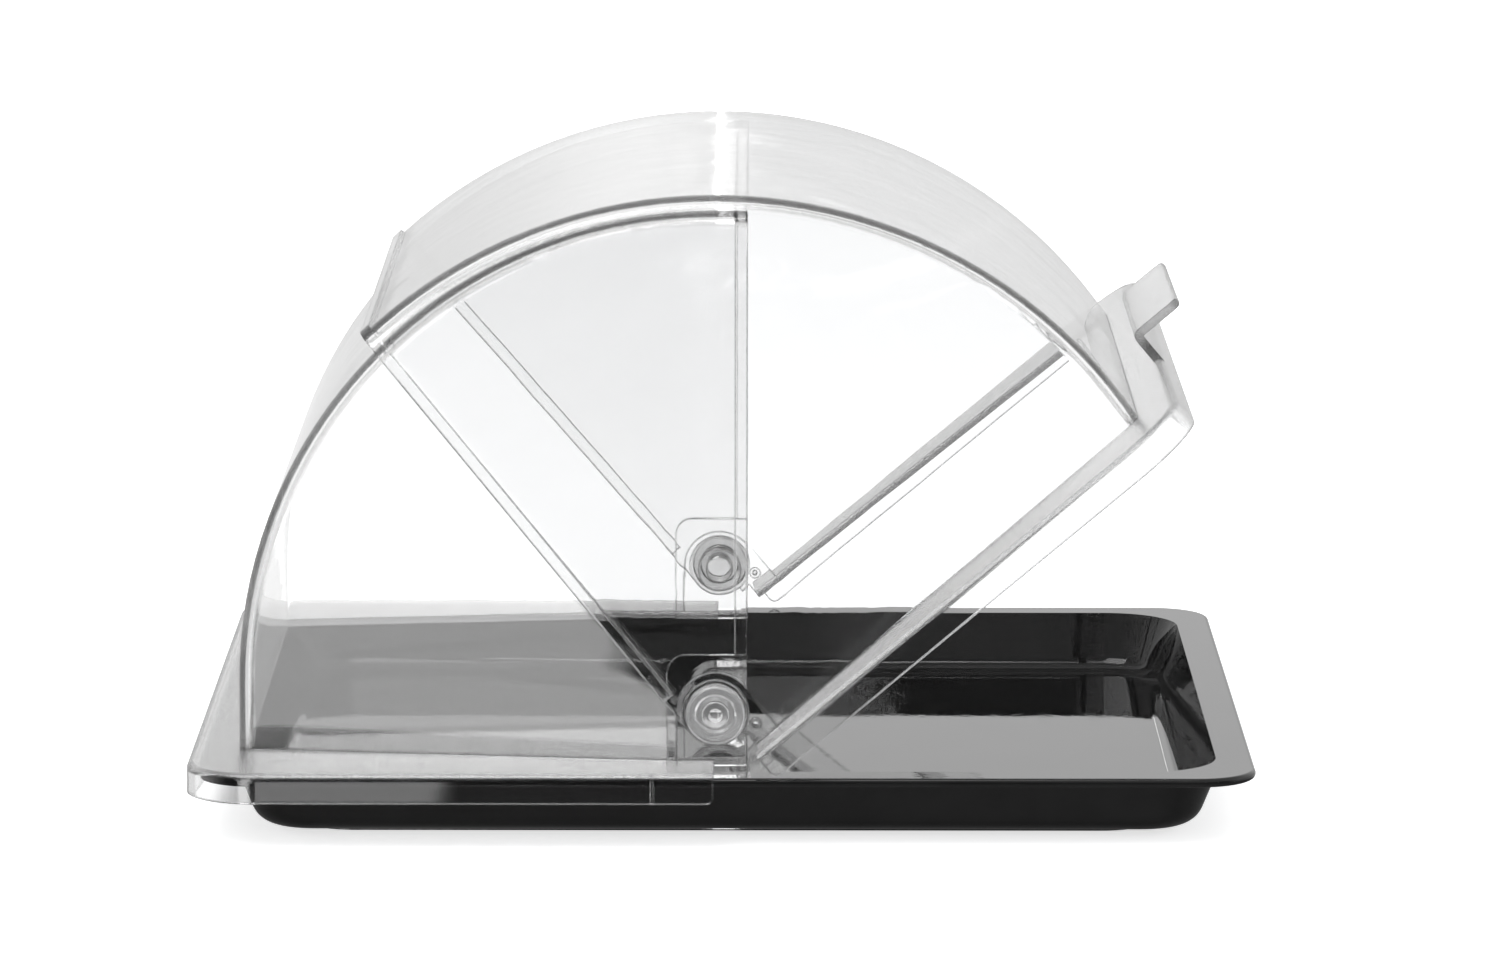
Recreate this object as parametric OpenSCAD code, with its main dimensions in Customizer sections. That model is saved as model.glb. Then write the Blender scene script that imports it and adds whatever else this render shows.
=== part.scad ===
// Roll-top food cover: a clear rear shell and a clear front lid that rolls back over it, on a low tray.
// Frame: +Z up, +X to the front, +Y to the right hand of someone facing the front; origin under the tray's foot.

/* [Tray] */
// Length of the tray over its rim
tray_l = 354; // [300:1:540]
// Width of the tray over its rim
tray_w = 325; // [316:1:400]
// Height of the tray from its foot to the top of its rim
tray_h = 24; // [18:1:40]
// Corner radius of the rim, seen from above
tray_r = 20; // [14:1:26]
// Width of the flat rim
rim_w = 12.4; // [10:0.2:15]
// Thickness of the rim
rim_t = 3; // [2.4:0.1:4]
// Thickness of the tray's wall and floor
tray_t = 2.5; // [2:0.1:4]
// Corner radius of the well at its top
well_r = 26; // [22:1:34]
// How far the well's wall leans in from top to bottom
well_lean = 9; // [4:0.5:12]
// Radius between the well's wall and its floor
floor_r = 6.5; // [4:0.5:9]
// Height of the foot under the tray's floor
foot_h = 2; // [1:0.1:3]
// Distance of the foot's edge from the rim's edge
foot_inset = 31.5; // [28:0.5:40]

/* [Shells] */
// Thickness of the clear shells
shell_t = 3; // [2.4:0.1:4]
// Outer radius of the lid's crown
lid_r = 171.3; // [160:0.1:185]
// Distance of the lid's crown edge inside the tray's edge, on each side
crown_inset = 36; // [32:0.5:50]
// Inward lean of the side walls for each unit of height
side_lean = 0.13; // [0.1:0.01:0.16]
// Outer radius between crown and side wall
edge_r = 6; // [4.5:0.5:9]
// Gap between the rear shell's crown and the lid's crown, at the top
roll_gap = 2.8; // [2:0.1:5]
// Gap between the side walls of lid and rear shell
side_gap = 1.4; // [1.2:0.1:2.5]
// Rise of the rear shell's axis above the pivot
rear_rise = 4.5; // [2:0.5:6]
// How far the rear shell reaches in front of the pivot
rear_lap = 10.5; // [8:0.5:12]
// How far the lid reaches behind the pivot
lid_lap = 11; // [10:0.5:13]
// Width of the thickened edges of both shells
bead_w = 4; // [3:0.5:6]
// Height of the thickened edges over the wall
bead_t = 1.3; // [0.8:0.1:2]

/* [Flanges] */
// Thickness of the flanges
flange_t = 2; // [1.8:0.1:4]
// Length of the lip that hangs below the flange
lip_h = 8.2; // [5:0.1:12]
// Thickness of the lip
lip_t = 2.8; // [2.6:0.1:4]
// Gap between the rim's edge and the lip
lip_gap = 1.4; // [1:0.1:2.5]
// Radius along the flange's outer edge
flange_edge_r = 2.4; // [1:0.1:2.5]
// Distance of the rear flange's ends behind the pivot
flange_back = 0.6; // [0:0.1:3]
// Distance of the lid flange's ends in front of the pivot
flange_front = 3.4; // [3:0.1:8]
// Air gap under the rear flange where it lies on the rim
rest_gap = 0.15; // [0.05:0.05:0.3]
// Height of the closed lid's flange above the rear flange
lid_rest_gap = 0.15; // [0.1:0.05:1]
// Radius of the lip's lower corner at the flange's ends
lip_end_r = 2.5; // [1:0.5:4]
// Height of the lid's lower edge above the rear flange, where it passes over it
skirt_gap = 4.1; // [2.5:0.1:5]
// Radius of the lid's lower rear corner
skirt_r = 6; // [5:0.5:8]
// Distance of the rear lip's locating ribs behind the flange's ends
rib_back = 20.5; // [12:0.5:40]
// Width of the locating ribs
rib_w = 0.8; // [0.6:0.1:2]
// Clearance between the locating ribs and the rim's edge
rib_gap = 0.4; // [0.2:0.1:0.8]

/* [Grip] */
// Width of the grip tongue
grip_w = 96; // [60:1:140]
// Reach of the grip tongue beyond the lip
grip_l = 17; // [10:1:30]
// Height of the grip's riser above the flange
grip_h = 12.4; // [8:0.2:20]
// Thickness of the grip
grip_t = 3; // [2.4:0.1:4]
// Corner radius of the grip tongue, seen from above
grip_r = 4; // [2:0.5:8]

/* [Pivot] */
// Distance of the pivot behind the middle of the tray
pivot_back = 4; // [0:0.5:10]
// Height of the pivot above the rear flange's underside
pivot_rise = 19.05; // [18:0.05:26]
// How far the lid is rolled back in the stored pose, in degrees
lid_open = 40; // [0:1:88]
// Radius of the pivot pin
pin_r = 4.5; // [3:0.1:6]
// Radial clearance between the pin and the lid's bore
pin_clear = 0.1; // [0.05:0.01:0.2]
// Radius of the button's head
button_r = 10; // [8:0.2:11]
// Height of the button's head
button_h = 3.8; // [3:0.1:5]
// Outer radius of the friction washers
washer_r = 10.5; // [9:0.1:11]
// Thickness of the friction washers
washer_t = 1; // [0.6:0.1:1.5]
// Running clearance between faces that turn on each other
face_clear = 0.2; // [0.1:0.05:0.4]
// Radius of the inner caps
cap_r = 8; // [7:0.2:10]
// Depth of the pin in the inner caps
cap_depth = 4; // [3:0.2:6]
// Thickness of the inner caps' closed end
cap_end = 1.5; // [1:0.1:3]
// Half width of the arched seat round each pivot
arch_r = 13; // [12:0.5:14]
// Thickness of the rear cover at the arched seat
seat_t = 4.6; // [3.6:0.2:7]
// Reach of the stiffening pad behind the pivot
pad_back = 16; // [15:0.5:24]
// Height of the stiffening pad above the pivot
pad_rise = 18.3; // [15:0.5:26]
// Radius of the stiffening pad's upper corner
pad_r = 6; // [3:0.5:10]
// Radius of the lid's ears on their inside
ear_r = 11; // [10.6:0.1:12]
// Place of the lid's moulding boss in front of the pivot
spot_x = 7.9; // [6:0.1:10]
// Place of the lid's moulding boss below the pivot
spot_drop = 11.3; // [10:0.1:12]
// Radius of the lid's moulding boss
spot_r = 2; // [1.5:0.1:2.5]
// Height of the lid's moulding boss
spot_h = 1.2; // [0.6:0.1:2]
// Radial clearance of the pin in the rear cover and in the caps
seat_clear = 0.08; // [0.02:0.01:0.15]
// Gap of the washers and of the inner caps to the rear cover
seat_gap = 0.05; // [0.02:0.01:0.1]
// Outer radius of the dished ring in the button's head
dish_r = 7.2; // [6.4:0.1:7.6]
// Depth of the dished ring
dish_depth = 0.9; // [0.4:0.1:1.5]
// Radius of the boss in the middle of the button's head
boss_r = 4.2; // [3:0.1:4.6]
// Depth of the dimple in the boss
dimple_depth = 0.6; // [0.3:0.1:1]

/* [Hidden] */
$fn = 96;
clear_tint = [0.86, 0.87, 0.88, 0.4];
fine = 0.01;
big = 3 * max(tray_l, tray_w);

// Side walls lean, so a wall's thickness measured across the tray is a little larger than the wall itself
lean_len = sqrt(1 + side_lean * side_lean);
wall_t = shell_t * lean_len;
crown_half = tray_w / 2 - crown_inset;
lid_half = crown_half + side_lean * lid_r;
lid_in_half = lid_half - wall_t;
rear_r = lid_r - shell_t - roll_gap - rear_rise;
rear_half = lid_in_half - side_gap - side_lean * rear_rise;

// Heights measured from the pivot
rim_z = -pivot_rise;
flange_top = rim_z + flange_t;
lid_rim_z = rim_z + lid_rest_gap;
lid_flange_top = lid_rim_z + flange_t;
lid_skirt_z = flange_top + skirt_gap;

// Places along the pivot axis, measured from the middle
seat_y = rear_half - side_lean * (arch_r + rear_rise);
seat_in_y = seat_y - seat_t;
ear_in_y = seat_y + seat_gap + washer_t + face_clear;
ear_out_y = lid_half - side_lean * arch_r;
head_y = ear_out_y + face_clear;
pin_end_y = seat_in_y - cap_depth;

// The lid's shell is turned from straight below the pivot to straight behind it, and then cut to its outline
lid_from = -90;
lid_to = 180;
// Round edges are drawn a touch smaller than the corner they fill, so that the arc crosses its chord cleanly
arc_trim = 0.02;
// Details of the button's head
dish_step = 0.4;
dimple_r = 5;

// Flange outline, with the tray's middle as its centre
flange_half_l = tray_l / 2 + lip_gap + lip_t;
flange_half_w = tray_w / 2 + lip_gap + lip_t;
flange_r = tray_r + lip_gap + lip_t;

// A slab whose edge has the section of its child, carried round a rectangle with round corners.
// The child's x runs outwards from the corner's centre, and its y is height.
module edge_sweep(half_l, half_w, corner) {
    run_l = 2 * (half_l - corner);
    run_w = 2 * (half_w - corner);
    for (side = [0, 1], end = [0, 1])
        mirror([side, 0, 0]) mirror([0, end, 0])
            translate([half_l - corner, half_w - corner, 0])
                rotate_extrude(angle = 90) children();
    for (side = [0, 180]) {
        rotate(side) translate([half_l - corner, run_w / 2, 0])
            rotate([90, 0, 0]) linear_extrude(run_w) children();
        rotate(side + 90) translate([half_w - corner, run_l / 2, 0])
            rotate([90, 0, 0]) linear_extrude(run_l) children();
    }
}

// The same slab with its middle filled between two heights
module filled_sweep(half_l, half_w, corner, low, high) {
    edge_sweep(half_l, half_w, corner) children();
    translate([corner - half_l, corner - half_w, low])
        cube([2 * (half_l - corner), 2 * (half_w - corner), high - low]);
}

// Section from a corner's centre out to a leaning wall, round at its lower end
module leaning_section(reach, lean, low, high, bottom_r) {
    foot_x = reach - lean;
    slope = lean / (high - low);
    round_x = foot_x + slope * bottom_r - bottom_r * sqrt(1 + slope * slope);
    touch = [round_x + bottom_r / sqrt(1 + slope * slope),
             low + bottom_r - bottom_r * slope / sqrt(1 + slope * slope)];
    polygon([[0, low], [round_x, low], touch, [reach, high], [0, high]]);
    translate([round_x, low + bottom_r]) circle(bottom_r);
}

// Flat rim with round edges
module rim_section() {
    round = rim_t / 2;
    translate([0, tray_h - rim_t]) square([tray_r - round, rim_t]);
    translate([tray_r - round, tray_h - round]) circle(round);
}

module tray() {
    well_half_l = tray_l / 2 - rim_w;
    well_half_w = tray_w / 2 - rim_w;
    floor_z = foot_h + tray_t;
    color([0.03, 0.03, 0.035]) difference() {
        union() {
            filled_sweep(tray_l / 2, tray_w / 2, tray_r, tray_h - rim_t, tray_h) rim_section();
            filled_sweep(well_half_l + tray_t, well_half_w + tray_t, well_r + tray_t, foot_h, tray_h - fine)
                leaning_section(well_r + tray_t, well_lean, foot_h, tray_h - fine, floor_r + tray_t);
            filled_sweep(tray_l / 2 - foot_inset, tray_w / 2 - foot_inset, well_r - floor_r, 0, foot_h + fine)
                square([well_r - floor_r, foot_h + fine]);
        }
        filled_sweep(well_half_l, well_half_w, well_r, floor_z, tray_h + fine)
            leaning_section(well_r, well_lean, floor_z, tray_h + fine, floor_r);
    }
}

// Half section of a shell's outer or inner face: radius along x, the pivot's axis along y
module shell_section(r, half, corner) {
    mid_x = r - corner;
    mid_y = half - side_lean * mid_x - corner * lean_len;
    touch = [mid_x + corner * side_lean / lean_len, mid_y + corner / lean_len];
    polygon([[0, -half], [touch[0], -touch[1]], [r, -mid_y], [r, mid_y], touch, [0, half]]);
    for (side = [-1, 1])
        translate([mid_x, side * mid_y]) circle(corner - arc_trim);
}

// Wall between an outer face and one that lies deeper by the given thickness
module wall_section(r, half, corner, thick) {
    difference() {
        shell_section(r, half, corner);
        shell_section(r - thick, half - thick * lean_len, corner - thick);
    }
}

// Turns a section about the pivot's axis, from one angle to another above the front
module turned(from, to) {
    rotate([90, 0, 0]) rotate(from) rotate_extrude(angle = to - from) children();
}

// Prism across the whole width from an outline seen from the side
module across() {
    rotate([90, 0, 0]) translate([0, 0, -big / 2]) linear_extrude(big) children();
}

// Flange plate with its hanging lip, as a whole ring round the tray, its underside at height zero
module flange_ring() {
    translate([pivot_back, 0, 0])
        filled_sweep(flange_half_l, flange_half_w, flange_r, 0, flange_t) {
            square([flange_r - flange_edge_r, flange_t]);
            translate([flange_r - lip_t, -lip_h]) square([lip_t, lip_h + flange_t - flange_edge_r]);
            translate([flange_r - lip_t, -lip_h]) square([lip_t - flange_edge_r, lip_h + flange_t]);
            translate([flange_r - flange_edge_r, flange_t - flange_edge_r]) intersection() {
                circle(flange_edge_r);
                square(flange_edge_r);
            }
        }
}

// Everything behind an end line, with the lower corner of the lip's end rounded off
module behind_outline(end, low) {
    translate([end - big, low + lip_end_r]) square([big, big]);
    translate([end - big, low]) square([big - lip_end_r, big]);
    translate([end - lip_end_r, low + lip_end_r]) circle(lip_end_r);
}

// Outline seen from the side, as a prism between two distances from the middle, on one side
module sideways(side, from, to) {
    mirror([0, side > 0 ? 1 : 0, 0]) translate([0, -from, 0])
        rotate([90, 0, 0]) linear_extrude(to - from) children();
}

// Puts a piece that stands on its z axis on the pivot's axis, pointing outwards
module outward(side) {
    mirror([0, side > 0 ? 1 : 0, 0]) rotate([90, 0, 0]) children();
}

// Hole along the pivot's axis through both sides
module pivot_bore(r) {
    rotate([90, 0, 0]) cylinder(r = r, h = big, center = true);
}

// Moves a piece from the pivot's frame to the tray's frame
module at_pivot() {
    translate([-pivot_back, 0, tray_h + rest_gap + pivot_rise]) children();
}

// Rear shell from its section: crown and walls turned, then carried straight down and straight forwards.
// Beside the pivot the side walls are flat, with the given thickness.
module rear_form(cheek_t) {
    translate([0, 0, rear_rise]) turned(90, 180) children();
    translate([rear_lap, 0, rear_rise]) rotate([0, -90, 0]) linear_extrude(rear_lap) children();
    translate([0, 0, rim_z]) rotate(180) linear_extrude(rear_rise - rim_z) children();
    for (side = [-1, 1])
        sideways(side, rear_half - cheek_t, rear_half)
            translate([0, rim_z]) square([rear_lap, rear_rise - rim_z]);
}

// Thickened front edge of the rear shell, on its inside
module rear_bead() {
    in_half = rear_half - wall_t;
    translate([rear_lap, 0, rear_rise]) rotate([0, -90, 0]) linear_extrude(bead_w)
        wall_section(rear_r - shell_t + fine, in_half + fine, edge_r - shell_t, bead_t);
    for (side = [-1, 1])
        sideways(side, in_half - bead_t, in_half + fine)
            translate([rear_lap - bead_w, rim_z]) square([bead_w, rear_rise - rim_z + fine]);
}

// Arched flat that the washer and the lid's ear lie against, open at the bottom in front of the flange
module arch_outline() {
    circle(arch_r);
    translate([-arch_r, flange_top]) square([2 * arch_r, -flange_top]);
    translate([-flange_back, rim_z - fine]) square([arch_r + flange_back, -rim_z]);
}

// Stiffening pad behind the arched flat
module pad_outline() {
    translate([-pad_back, rim_z]) square([pad_back + rear_lap, pad_rise - pad_r - rim_z]);
    translate([pad_r - pad_back, rim_z]) square([pad_back + rear_lap - pad_r, pad_rise - rim_z]);
    translate([pad_r - pad_back, pad_rise - pad_r]) circle(pad_r);
}

// Thin ribs inside the lip that keep the cover in place on the rim
module locating_ribs() {
    lip_in = flange_half_w - lip_t;
    for (side = [-1, 1])
        sideways(side, lip_in - lip_gap + rib_gap, lip_in + fine)
            translate([-flange_back - rib_back - rib_w / 2, rim_z - lip_h]) square([rib_w, lip_h + fine]);
}

module rear_cover() {
    color(clear_tint) at_pivot() difference() {
        union() {
            locating_ribs();
            rear_form(wall_t) wall_section(rear_r, rear_half, edge_r, shell_t);
            rear_bead();
            intersection() {
                rear_form(rear_half) shell_section(rear_r, rear_half, edge_r);
                for (side = [-1, 1])
                    sideways(side, seat_in_y, rear_half) pad_outline();
            }
            difference() {
                intersection() {
                    translate([0, 0, rim_z]) flange_ring();
                    across() behind_outline(-flange_back, rim_z - lip_h);
                }
                translate([0, 0, rim_z - fine]) rotate(180) linear_extrude(flange_t + 2 * fine)
                    shell_section(rear_r - shell_t, rear_half - wall_t, edge_r - shell_t);
            }
        }
        for (side = [-1, 1])
            sideways(side, seat_y, rear_half + wall_t) arch_outline();
        pivot_bore(pin_r + seat_clear);
    }
}

// Side view of the lid's walls: a straight rear edge, a round lower corner and a step down to the flange
module lid_outline() {
    corner = [skirt_r - lid_lap, lid_skirt_z + skirt_r];
    translate([corner[0], lid_skirt_z]) square([big, big]);
    translate([-lid_lap, corner[1]]) square([big, big]);
    translate(corner) circle(skirt_r);
    translate([flange_front, lid_rim_z]) square([big, big]);
}

// Thickened rear edge of the lid, on its outside, down to the ears
module lid_bead() {
    intersection() {
        turned(0, lid_to)
            wall_section(lid_r + bead_t, lid_half + bead_t * lean_len, edge_r + bead_t, bead_t + fine);
        across() translate([-lid_lap, arch_r + bead_t]) square([bead_w, big]);
    }
}

// Grip: a riser on the flange's edge and a tongue that points outwards
module grip() {
    edge_x = pivot_back + flange_half_l;
    top = lid_flange_top + grip_h;
    low = lid_flange_top - flange_edge_r;
    tip_x = edge_x + grip_l;
    intersection() {
        across() {
            translate([edge_x - grip_t, low]) square([grip_t, top - grip_t - low]);
            translate([edge_x, top - grip_t]) square([grip_l - grip_t / 2, grip_t]);
            translate([tip_x - grip_t / 2, top - grip_t / 2]) circle(grip_t / 2);
            intersection() {
                translate([edge_x, top - grip_t]) circle(grip_t);
                translate([edge_x - grip_t, top - grip_t]) square(grip_t);
            }
        }
        translate([0, 0, low]) linear_extrude(top - low) {
            translate([0, -grip_w / 2]) square([tip_x - grip_r, grip_w]);
            translate([0, grip_r - grip_w / 2]) square([tip_x, grip_w - 2 * grip_r]);
            for (side = [-1, 1])
                translate([tip_x - grip_r, side * (grip_w / 2 - grip_r)]) circle(grip_r);
        }
    }
}

// Flat that carries each ear's outer face down to the lid's flange
module cheek_outline() {
    translate([flange_front, lid_flange_top - fine]) square([arch_r - flange_front, fine - lid_flange_top]);
}

// Round boss with a dimple that the moulding leaves beside each ear
module moulding_boss(side) {
    dimple = spot_r / 2;
    outward(side) translate([spot_x, -spot_drop, ear_out_y - shell_t / 2]) rotate_extrude()
        difference() {
            square([spot_r, shell_t / 2 + spot_h]);
            translate([0, shell_t / 2 + spot_h]) circle(dimple);
        }
}

// The lid in its closed place
module closed_lid() {
    difference() {
        union() {
            intersection() {
                turned(lid_from, lid_to) wall_section(lid_r, lid_half, edge_r, shell_t);
                across() lid_outline();
            }
            lid_bead();
            difference() {
                intersection() {
                    translate([0, 0, lid_rim_z]) flange_ring();
                    across() mirror([1, 0]) behind_outline(-flange_front, lid_rim_z - lip_h);
                }
                turned(lid_from, lid_to) shell_section(lid_r - shell_t, lid_half - wall_t, edge_r - shell_t);
            }
            grip();
            for (side = [-1, 1]) {
                sideways(side, ear_in_y, ear_out_y) circle(ear_r);
                sideways(side, ear_out_y - shell_t / 2, ear_out_y) cheek_outline();
            }
        }
        for (side = [-1, 1])
            sideways(side, ear_out_y, lid_half + wall_t) circle(arch_r);
        pivot_bore(pin_r + pin_clear);
    }
    for (side = [-1, 1])
        moulding_boss(side);
}

module front_lid() {
    color(clear_tint) at_pivot() rotate([0, -lid_open, 0]) closed_lid();
}

// Button head: a flat ring, a dished groove and a centre boss with a dimple
module head_section() {
    round = button_h / 3;
    difference() {
        union() {
            square([button_r, button_h - round]);
            square([button_r - round, button_h]);
            translate([button_r - round, button_h - round]) circle(round);
        }
        polygon([[boss_r, button_h + fine], [boss_r + dish_step, button_h - dish_depth],
                 [dish_r - 2 * dish_step, button_h - dish_depth], [dish_r, button_h + fine]]);
        translate([0, button_h + dimple_r - dimple_depth]) circle(dimple_r);
    }
}

module pivot_button(side) {
    color(clear_tint) at_pivot() outward(side) {
        translate([0, 0, pin_end_y]) cylinder(r = pin_r, h = head_y - pin_end_y + fine);
        translate([0, 0, head_y]) rotate_extrude() intersection() {
            head_section();
            square(2 * button_r);
        }
    }
}

module friction_washer(side) {
    color([0.8, 0.8, 0.8]) at_pivot() outward(side) translate([0, 0, seat_y + seat_gap])
        difference() {
            cylinder(r = washer_r, h = washer_t);
            translate([0, 0, -fine]) cylinder(r = pin_r + seat_clear, h = washer_t + 2 * fine);
        }
}

// Cap that closes over the pin's inner end, its open side against the rear cover's pad
module pivot_cap(side) {
    cap_h = cap_depth + face_clear + cap_end;
    round = cap_end / 2;
    color(clear_tint) at_pivot() outward(side) translate([0, 0, seat_in_y - seat_gap - cap_h])
        difference() {
            rotate_extrude() {
                translate([0, round]) square([cap_r, cap_h - round]);
                square([cap_r - round, cap_h]);
                intersection() {
                    translate([cap_r - round, round]) circle(round);
                    square(2 * cap_r);
                }
            }
            translate([0, 0, cap_end]) cylinder(r = pin_r + seat_clear, h = cap_h);
        }
}

tray();
rear_cover();
front_lid();
pivot_button(-1);  // left_pivot_button
pivot_button(1);  // right_pivot_button
friction_washer(-1);  // left_friction_washer
friction_washer(1);  // right_friction_washer
pivot_cap(-1);  // left_pivot_cap
pivot_cap(1);  // right_pivot_cap
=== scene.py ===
import math

import bpy
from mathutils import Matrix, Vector

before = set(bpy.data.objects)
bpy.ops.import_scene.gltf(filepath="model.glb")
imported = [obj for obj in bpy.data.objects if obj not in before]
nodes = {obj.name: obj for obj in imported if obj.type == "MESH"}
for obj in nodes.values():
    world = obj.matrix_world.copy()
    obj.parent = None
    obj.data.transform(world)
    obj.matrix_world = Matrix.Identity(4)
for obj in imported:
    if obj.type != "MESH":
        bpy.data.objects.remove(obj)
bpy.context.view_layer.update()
scene = bpy.context.scene
scene.view_settings.view_transform = "Standard"

# Places repeated from the part's source, in metres and radians
PIVOT = (-0.004, 0.0, 0.0432)
LID_OPEN = math.radians(40)
FLANGE_LOW, FLANGE_TOP = 0.02415, 0.02615    # the rear flange's underside and top
LID_FLANGE_TOP = -0.0169                     # the lid's flange top, from the pivot, with the lid closed
LID_RISER = 0.1815                           # where the grip starts, in front of the pivot
WALL_END, CROWN_START = 0.15, 0.155          # from the pivot's axis, inside both crowns

# Plastics
TRAY_IOR, CLEAR_IOR, MILKY_IOR = 1.46, 1.53, 1.5
TRAY_SHADE = (0.008, 0.011)
TRAY_ROUGHNESS = (0.012, 0.05)               # clean, and where it was wiped
SCUFF_ROUGHNESS, SATIN_ROUGHNESS = 0.012, 0.12
SATIN_GRAIN, SATIN_DEPTH = 2000, 0.00006     # grains per metre, and how deep they are
EDGE_ROUND, SMALL_EDGE_ROUND = 0.0008, 0.0004
EDGE_PAINTED_SHADE = 0.12                             # painted shade: the grey painted along the clear plastic's sharp edges, for the dark lines that bent light draws there
ABSORB_COLOUR, ABSORB_DENSITY = 0.2, 3.0

# Brightness of the studio, where 1 is white
BACKDROP, CEILING = 0.8, 0.48
STRIPES, STRIPE_DIM = 8.0, 0.6               # stripes all round, and how dim the backdrop is between them
FLOOR_SHADE = (0.925, 0.94)
FLOOR_GLOW, FLOOR_GLOW_THROUGH = 0.7, 0.25   # the floor's own light, to the eye and through the plastic
FLOOR_SIZE, FLOOR_GAP = 9.0, 0.0003
FILL_COLOUR, FILL = (0.98, 0.99, 1.0, 1), 0.82
WIDE_WINDOW, SMALL_WINDOW = 3.28, 1.65

# Paths in clear plastic: the crowns' edges guide light through dozens of inner reflections
MAX_BOUNCES, TRANSMISSION_BOUNCES, GLOSSY_BOUNCES = 128, 64, 128


class Tree:
    """A node tree, written as expressions. A value is a constant or another node's output."""

    def __init__(self, nt, output):
        self.nt = nt
        nt.nodes.clear()
        self.out = self.node(output)

    def node(self, kind, **props):
        n = self.nt.nodes.new(kind)
        for k, v in props.items():
            setattr(n, k, v)
        return n

    def put(self, socket, value):
        if isinstance(value, bpy.types.NodeSocket):
            self.nt.links.new(value, socket)
        else:
            socket.default_value = value

    def where(self):
        return self.node("ShaderNodeTexCoord").outputs["Object"]

    def math(self, op, *args):
        n = self.node("ShaderNodeMath", operation=op)
        for i, a in enumerate(args):
            self.put(n.inputs[i], a)
        return n.outputs[0]

    def vec(self, op, *args):
        n = self.node("ShaderNodeVectorMath", operation=op)
        for i, a in enumerate(args):
            self.put(n.inputs[i], a)
        return n.outputs["Value"] if op == "DOT_PRODUCT" else n.outputs["Vector"]

    def ramp(self, value, low, high, a=0.0, b=1.0):
        """From a at low to b at high, smoothly."""
        n = self.node("ShaderNodeMapRange", interpolation_type="SMOOTHSTEP")
        for k, v in (("Value", value), ("From Min", low), ("From Max", high), ("To Min", a), ("To Max", b)):
            self.put(n.inputs[k], v)
        return n.outputs["Result"]

    def band(self, value, rise, fall, top=1.0):
        """Up from 0 over rise and back to 0 over fall."""
        return self.math("MULTIPLY", self.ramp(value, *rise), self.ramp(value, *fall, top, 0.0))

    def noise(self, at, scale, detail=2.0, rough=0.5):
        n = self.node("ShaderNodeTexNoise")
        self.put(n.inputs["Vector"], at)
        for k, v in (("Scale", scale), ("Detail", detail), ("Roughness", rough)):
            n.inputs[k].default_value = v
        return n.outputs["Fac"]

    def grains(self, at, scale):
        n = self.node("ShaderNodeTexVoronoi", feature="F1")
        self.put(n.inputs["Vector"], at)
        n.inputs["Scale"].default_value = scale
        return n.outputs["Distance"]

    def grey(self, value):
        n = self.node("ShaderNodeCombineColor")
        for k in ("Red", "Green", "Blue"):
            self.put(n.inputs[k], value)
        return n.outputs[0]

    def round_edges(self, radius):
        n = self.node("ShaderNodeBevel", samples=4)
        n.inputs["Radius"].default_value = radius
        return n.outputs["Normal"]

    def bump(self, height, distance, strength=1.0, before=None):
        n = self.node("ShaderNodeBump")
        self.put(n.inputs["Height"], height)
        self.put(n.inputs["Strength"], strength)
        n.inputs["Distance"].default_value = distance
        if before is not None:
            self.put(n.inputs["Normal"], before)
        return n.outputs["Normal"]

    def surface(self, **values):
        p = self.node("ShaderNodeBsdfPrincipled")
        for k, v in values.items():
            self.put(p.inputs[k.replace("_", " ")], v)
        self.put(self.out.inputs["Surface"], p.outputs[0])
        return p

    def absorb(self, shade, density):
        v = self.node("ShaderNodeVolumeAbsorption")
        v.inputs["Color"].default_value = (shade, shade, shade, 1)
        v.inputs["Density"].default_value = density
        self.put(self.out.inputs["Volume"], v.outputs[0])

    def choose(self, fac, no, yes):
        """One shader where fac is 0, the other where it is 1."""
        n = self.node("ShaderNodeMixShader")
        for i, value in enumerate((fac, no, yes)):
            self.put(n.inputs[i], value)
        self.put(self.out.inputs["Surface"], n.outputs[0])

    def light_path(self, *kinds):
        """1 for rays of these kinds, else 0."""
        path = self.node("ShaderNodeLightPath")
        total = path.outputs[kinds[0]]
        for kind in kinds[1:]:
            total = self.math("MAXIMUM", total, path.outputs[kind])
        return total

    def mirrored(self):
        """1 for a ray that has been mirrored on its way."""
        return self.math("MINIMUM", self.node("ShaderNodeLightPath").outputs["Glossy Depth"], 1.0)


def material(name):
    mat = bpy.data.materials.new(name)
    mat.use_nodes = True
    return mat, Tree(mat.node_tree, "ShaderNodeOutputMaterial")


def tray_black():
    """Glossy black moulded plastic: a slow wave from the mould, fine orange peel and faint wipe marks."""
    mat, t = material("tray_black")
    at = t.where()
    wave = t.noise(t.vec("MULTIPLY", at, (1.0, 0.45, 1.0)), 34, 1.0)
    wipes = t.noise(t.vec("MULTIPLY", at, (1.0, 0.12, 1.0)), 160, 4.0, 0.6)
    shade = t.ramp(t.noise(at, 60, 3.0), 0.3, 0.7, *TRAY_SHADE)
    normal = t.bump(wave, 0.00008)
    normal = t.bump(t.noise(at, 330, 1.0), 0.000012, before=normal)
    normal = t.bump(t.noise(at, 900, 2.0), 0.000002, before=normal)
    t.surface(Base_Color=t.grey(shade), Roughness=t.ramp(wipes, 0.35, 0.75, *TRAY_ROUGHNESS),
              IOR=TRAY_IOR, Normal=normal)
    return mat


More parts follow.
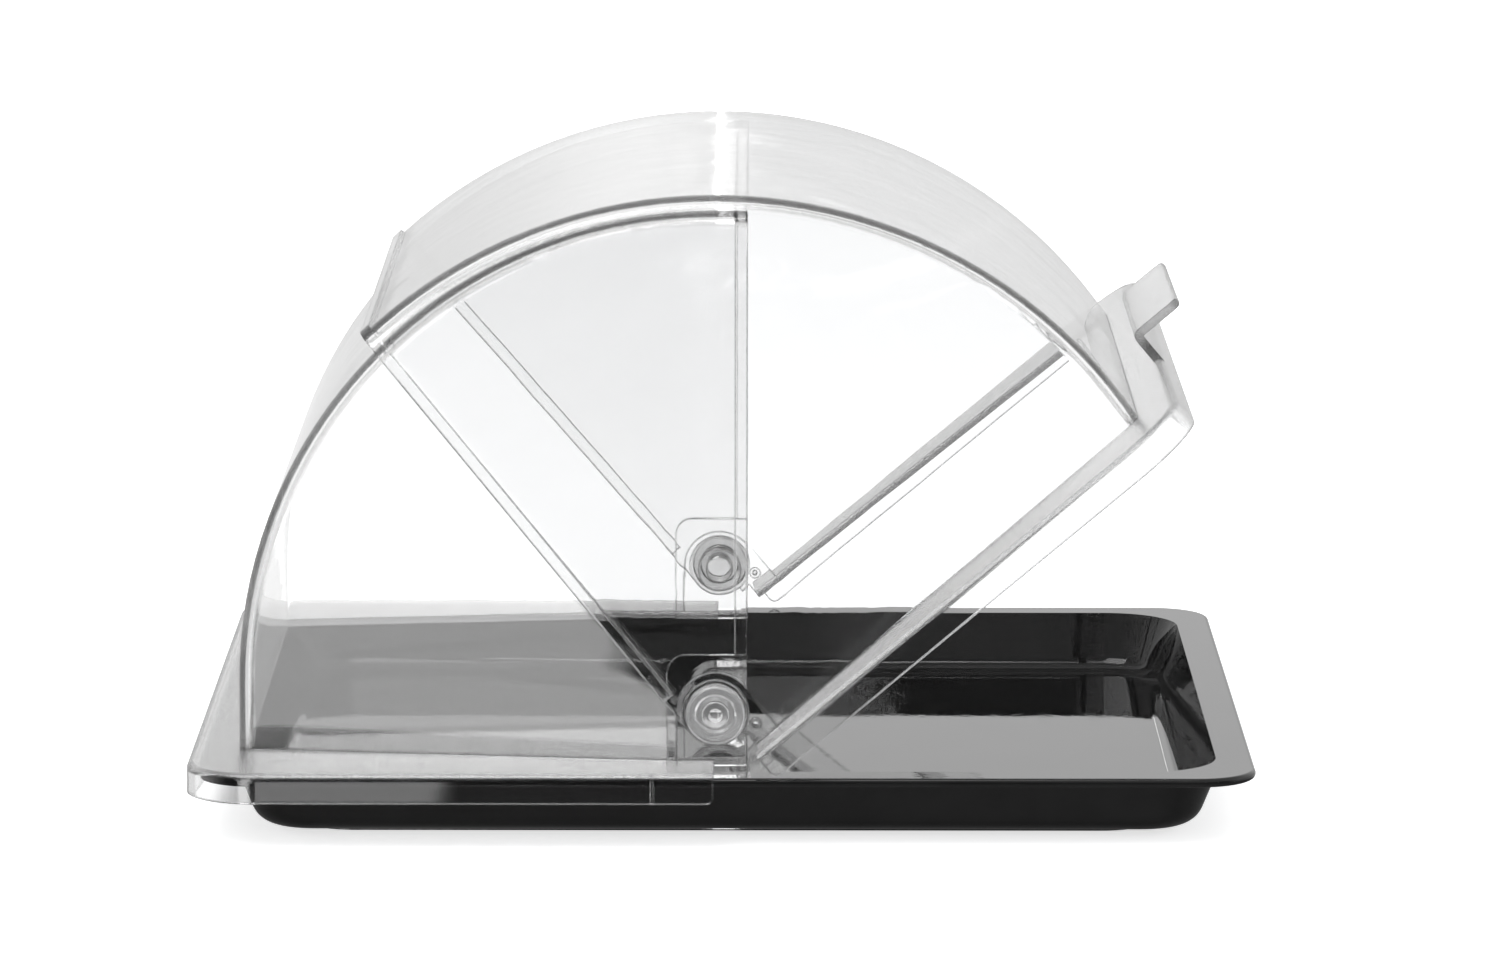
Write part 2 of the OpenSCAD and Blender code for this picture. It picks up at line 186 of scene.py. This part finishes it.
def clear_plastic(name, zones=None):
    """Clear moulded plastic, grey where the light runs along inside it, with painted shade: grey lines painted
    along its sharp
    edges. zones gives two masks: where it has a satin grain, and where the crown's rule for the painted edge lines
    doesn't hold."""
    mat, t = material(name)
    at = t.where()
    rough = t.ramp(t.noise(t.vec("MULTIPLY", at, (1.0, 1.0, 0.3)), 240, 4.0, 0.65), 0.6, 0.8, 0.0, SCUFF_ROUGHNESS)
    rounded = t.round_edges(EDGE_ROUND)
    normal = t.bump(t.noise(at, 22, 2.0), 0.00006, before=rounded)
    from_axis = t.vec("MULTIPLY", t.vec("SUBTRACT", at, PIVOT), (1.0, 0.0, 1.0))
    # Where the sharp edges get painted shade: everywhere but the crown, which starts further from the pivot's axis
    painted_edge_zone = t.ramp(t.vec("DOT_PRODUCT", from_axis, from_axis), WALL_END ** 2, CROWN_START ** 2, 1.0, 0.0)
    if zones is not None:
        satin, below = zones(t, at)
        painted_edge_zone = t.math("MAXIMUM", painted_edge_zone, below)
        normal = t.bump(t.grains(at, SATIN_GRAIN), SATIN_DEPTH, satin, normal)
        rough = t.math("ADD", rough, t.math("MULTIPLY", satin, SATIN_ROUGHNESS))
    # Painted shade: sharp edges are painted as grey lines, for the dark lines that bent light draws there, apart
    # from the crown's, which the light inside draws by itself
    flat = t.node("ShaderNodeNewGeometry").outputs["Normal"]
    facing = t.math("ABSOLUTE", t.vec("DOT_PRODUCT", rounded, flat))
    grey = t.math("MULTIPLY", t.ramp(facing, 0.9, 0.995, 1.0 - EDGE_PAINTED_SHADE, 0.0), painted_edge_zone)
    t.surface(Base_Color=t.grey(t.math("SUBTRACT", 1.0, grey)), Roughness=rough, IOR=CLEAR_IOR,
              Transmission_Weight=1.0, Normal=normal)
    t.absorb(ABSORB_COLOUR, ABSORB_DENSITY)
    return mat


def milky_plastic(name, body, rough, clear):
    """Clear plastic with a milky body, for the pivot's small pieces."""
    mat, t = material(name)
    at = t.where()
    shade = t.ramp(t.noise(at, 500, 3.0), 0.3, 0.7, body - 0.03, body + 0.03)
    normal = t.bump(t.noise(at, 1800), 0.00001, before=t.round_edges(SMALL_EDGE_ROUND))
    t.surface(Base_Color=t.grey(shade), Roughness=t.ramp(t.noise(at, 900), 0.3, 0.7, rough * 0.8, rough * 1.2),
              IOR=MILKY_IOR, Transmission_Weight=clear, Normal=normal)
    return mat


def rear_zones(t, at):
    """1 on the top of the rear flange, and 1 on all of the flange and lip, where the sharp edges get painted shade.
    """
    z = t.vec("DOT_PRODUCT", at, (0, 0, 1))
    below = t.ramp(z, FLANGE_TOP + 0.0008, FLANGE_TOP + 0.0002)
    return t.math("MULTIPLY", below, t.ramp(z, FLANGE_LOW + 0.0004, FLANGE_LOW + 0.0012)), below


def lid_zones(t, at):
    """1 on the top of the lid's flange and on the grip, and 1 on all of the flange, lip and grip, where the sharp
    edges get painted shade.
    """
    from_pivot = t.vec("SUBTRACT", at, PIVOT)
    x = t.vec("DOT_PRODUCT", from_pivot, (math.cos(LID_OPEN), 0, math.sin(LID_OPEN)))
    z = t.vec("DOT_PRODUCT", from_pivot, (-math.sin(LID_OPEN), 0, math.cos(LID_OPEN)))
    below = t.ramp(z, LID_FLANGE_TOP + 0.0008, LID_FLANGE_TOP + 0.0002)
    flange = t.math("MULTIPLY", below, t.ramp(z, LID_FLANGE_TOP - 0.0024, LID_FLANGE_TOP - 0.0016))
    grip = t.ramp(x, LID_RISER, LID_RISER + 0.0008)
    return t.math("MAXIMUM", flange, grip), t.math("MAXIMUM", below, grip)


def dress(name, look):
    me = nodes[name].data
    me.materials.clear()
    me.materials.append(look)


dress("tray", tray_black())
dress("rear_cover", clear_plastic("clear_shell", rear_zones))
dress("front_lid", clear_plastic("clear_lid", lid_zones))
pivot_look = milky_plastic("clear_pivot", body=0.95, rough=0.06, clear=0.84)
cap_look = clear_plastic("clear_cap")
washer_look = milky_plastic("washer", body=0.95, rough=0.1, clear=0.97)
for side in ("left", "right"):
    dress(side + "_pivot_button", pivot_look)
    dress(side + "_pivot_cap", cap_look)
    dress(side + "_friction_washer", washer_look)


# Floor and surroundings: white to the eye and through the clear plastic. What the object mirrors is a studio with
# a white wall behind the object, a dim room on the other side and a dim ceiling.
def pale_floor():
    """A pale floor that keeps the shadow. Mirrored rays pass through it to the studio's lower half."""
    mat, t = material("pale_floor")
    shade = t.ramp(t.noise(t.where(), 40, 3.0), 0.3, 0.7, *FLOOR_SHADE)
    glow = t.math("MAXIMUM", t.math("MULTIPLY", t.light_path("Is Camera Ray"), FLOOR_GLOW),
                  t.math("MULTIPLY", t.light_path("Is Transmission Ray"), FLOOR_GLOW_THROUGH))
    p = t.surface(Base_Color=t.grey(shade), Roughness=0.9, Specular_IOR_Level=0.0,
                  Emission_Color=(1, 1, 1, 1), Emission_Strength=glow)
    t.choose(t.mirrored(), p.outputs[0], t.node("ShaderNodeBsdfTransparent").outputs[0])
    return mat


bpy.ops.mesh.primitive_plane_add(size=FLOOR_SIZE, location=(0, 0, -FLOOR_GAP))
floor = bpy.context.object
floor.name = "floor"
floor.data.materials.append(pale_floor())


def studio():
    """The world. A direction's parts up, back and right run from -1 to 1."""
    world = bpy.data.worlds.new("studio")
    scene.world = world
    world.use_nodes = True
    t = Tree(world.node_tree, "ShaderNodeOutputWorld")
    towards = t.node("ShaderNodeTexCoord").outputs["Generated"]
    up = t.vec("DOT_PRODUCT", towards, (0, 0, 1))
    back = t.vec("DOT_PRODUCT", towards, (0, 1, 0))
    right = t.vec("DOT_PRODUCT", towards, (1, 0, 0))
    ceiling = t.ramp(up, 0.5, 0.85, BACKDROP, CEILING)

    # Seen through the plastic: stripes all round, so that bent rays draw the edges, with white along the horizon
    azimuth = t.math("ARCTAN2", back, right)
    stripes = t.ramp(t.math("COSINE", t.math("MULTIPLY", azimuth, STRIPES)), -1.0, -0.2, STRIPE_DIM, 1.0)
    horizon = t.ramp(t.math("ABSOLUTE", up), 0.06, 0.1, 1.0, 0.0)
    through = t.math("MAXIMUM", t.math("MULTIPLY", ceiling, stripes), horizon)
    through = t.math("MAXIMUM", through, t.light_path("Is Camera Ray"))

    # What is mirrored, as shares of the backdrop: white behind, dimmer low down, and a dim front that is darkest
    # straight ahead
    low = t.ramp(t.math("ABSOLUTE", t.math("ADD", right, 0.055)), 0.0, 0.1, 1.15, 0.9)
    behind = t.math("MULTIPLY", t.ramp(up, 0.13, 0.18, low, 1.3), t.ramp(up, -0.3, -0.2, 0.2, 1.0))
    ahead = t.math("MAXIMUM", t.ramp(up, 0.4, 0.55, 0.04, 0.8), t.ramp(up, -0.6, -0.45, 0.3, 0.04))
    room = t.math("MULTIPLY", ceiling, t.ramp(back, -0.6, 0.0, ahead, behind))

    # Two windows low in front on the left, placed by the ratio of left to front: one for the rear shell, one for
    # its lip
    ratio = t.math("DIVIDE", right, t.math("MINIMUM", back, -0.01))
    past_edge = t.math("SUBTRACT", ratio, t.ramp(up, -0.13, -0.03, 0.273, 0.24))
    wide = t.math("MULTIPLY", t.band(past_edge, (-0.004, 0.004), (0.3, 0.36)),
                  t.band(up, (-0.6, -0.5), (0.3, 0.4), WIDE_WINDOW))
    small = t.math("MULTIPLY", t.band(ratio, (0.038, 0.043), (0.09, 0.1)),
                   t.band(up, (-0.206, -0.204), (-0.19, -0.188), SMALL_WINDOW))
    room = t.math("ADD", room, t.math("ADD", wide, small))

    shown = t.node("ShaderNodeMix", data_type="FLOAT")
    for socket, value in ((0, t.mirrored()), (2, through), (3, room)):
        t.put(shown.inputs[socket], value)
    white, fill = t.node("ShaderNodeBackground"), t.node("ShaderNodeBackground")
    white.inputs["Color"].default_value = (1, 1, 1, 1)
    t.put(white.inputs["Strength"], shown.outputs[0])
    fill.inputs["Color"].default_value = FILL_COLOUR
    fill.inputs["Strength"].default_value = FILL
    seen = t.light_path("Is Camera Ray", "Is Glossy Ray", "Is Transmission Ray")
    t.choose(seen, fill.outputs[0], white.outputs[0])


studio()
scene.cycles.max_bounces = MAX_BOUNCES
scene.cycles.transmission_bounces = TRANSMISSION_BOUNCES
scene.cycles.glossy_bounces = GLOSSY_BOUNCES


def softbox(name, at, towards, size, power):
    data = bpy.data.lights.new(name, "AREA")
    data.shape = "RECTANGLE"
    data.size, data.size_y, data.energy = size, size, power
    lamp = bpy.data.objects.new(name, data)
    scene.collection.objects.link(lamp)
    lamp.location = at
    lamp.rotation_euler = (Vector(towards) - Vector(at)).to_track_quat("-Z", "Y").to_euler()
    lamp.visible_camera = False


softbox("key", at=(-0.7, -1.0, 2.3), towards=(0, 0, 0.1), size=1.6, power=32)

# The photograph's camera, fitted to the tray
CAMERA_AT = (0.0093, -2.7585, 0.5476)
LOOK_DOWN, ROLL, YAW = 9.23, -0.06, 0.05     # degrees
camera = bpy.data.objects.new("camera", bpy.data.cameras.new("camera"))
scene.collection.objects.link(camera)
camera.location = CAMERA_AT
camera.rotation_euler = (math.radians(90 - LOOK_DOWN), math.radians(ROLL), math.radians(YAW))
camera.data.sensor_fit = "HORIZONTAL"
camera.data.sensor_width = 36.0
camera.data.lens = 191.0
camera.data.clip_start = 0.05
camera.data.clip_end = 50
scene.camera = camera
